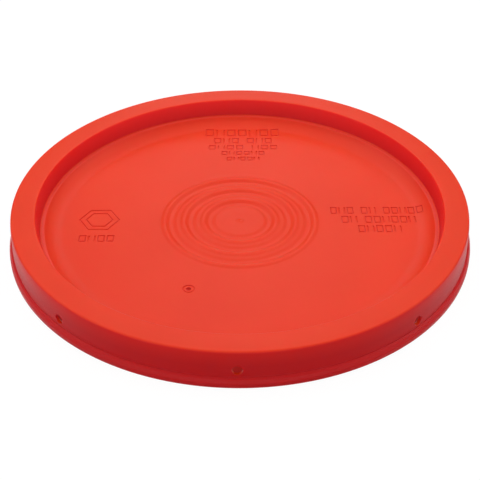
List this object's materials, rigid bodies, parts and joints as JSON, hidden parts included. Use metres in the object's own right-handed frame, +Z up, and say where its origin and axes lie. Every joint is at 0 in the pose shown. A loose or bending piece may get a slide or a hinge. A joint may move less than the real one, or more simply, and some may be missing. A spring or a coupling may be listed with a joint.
{
  "type": "press-on bucket cover",
  "caption": "Round press-on plastic cover for a fermenting bucket: sunken panel with low centre rings, channelled rim, drafted skirt with cut holes, and a removable seal ring.",
  "frame": {"origin": "centre of the circle that the skirt's foot stands on", "axes": "+Z up, out of the top of the cover; -Y towards the viewer at the cover's front, where one cut hole faces"},
  "size_m": [0.312, 0.312, 0.0261],
  "materials": {
    "moulded_hdpe": "satin moulded polyethylene, orange-red",
    "seal_rubber": "matt moulded rubber"
  },
  "bodies": {
    "cover": {"cover": "moulded_hdpe"},
    "gasket": {"rim_gasket": "seal_rubber"}
  },
  "joints": [
    {"name": "gasket_release", "type": "slide", "parent": "cover", "child": "gasket", "axis": [0, 0, -1], "range_m": [0, 0.035]}
  ]
}
